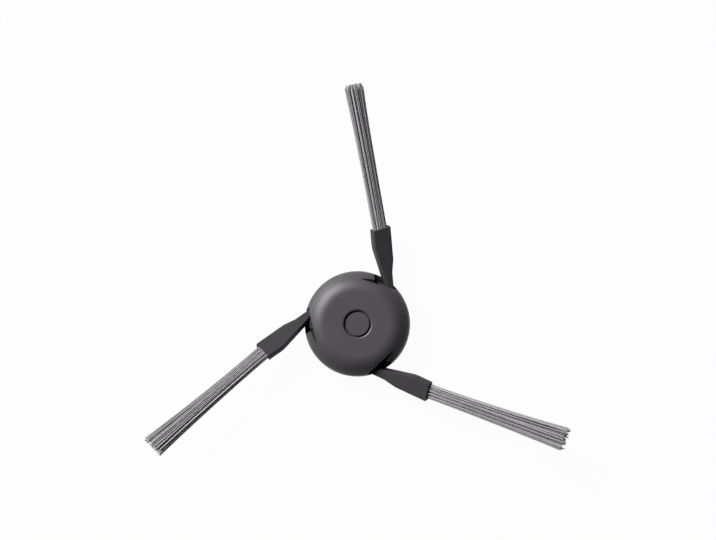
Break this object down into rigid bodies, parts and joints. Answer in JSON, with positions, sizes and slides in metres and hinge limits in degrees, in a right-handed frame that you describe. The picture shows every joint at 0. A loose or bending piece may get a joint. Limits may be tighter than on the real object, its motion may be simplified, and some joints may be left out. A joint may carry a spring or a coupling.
{
  "type": "robot vacuum side brush",
  "caption": "Side brush for a robot vacuum cleaner: a domed hub with a square push-on drive socket, and soft arms that leave it at a tangent, each holding a fanned bristle tuft.",
  "frame": {"origin": "centre of the drive socket's mouth, in the plane that the hub's underside rests on", "axes": "+Z along the hub axis from the socket's mouth to the crown, +Y close to the direction of the first arm, +X to its right seen from above"},
  "size_m": [0.144, 0.126, 0.0236],
  "materials": {
    "hub_plastic": "fine matt texture",
    "arm_rubber": "smooth soft moulding",
    "bristle_nylon": "satin filaments"
  },
  "bodies": {
    "root": {"hub_cap": "hub_plastic", "hub_base": "hub_plastic", "arm_1": "arm_rubber", "arm_2": "arm_rubber", "arm_3": "arm_rubber", "bristle_tuft_1": "bristle_nylon", "bristle_tuft_2": "bristle_nylon", "bristle_tuft_3": "bristle_nylon"}
  },
  "joints": []
}
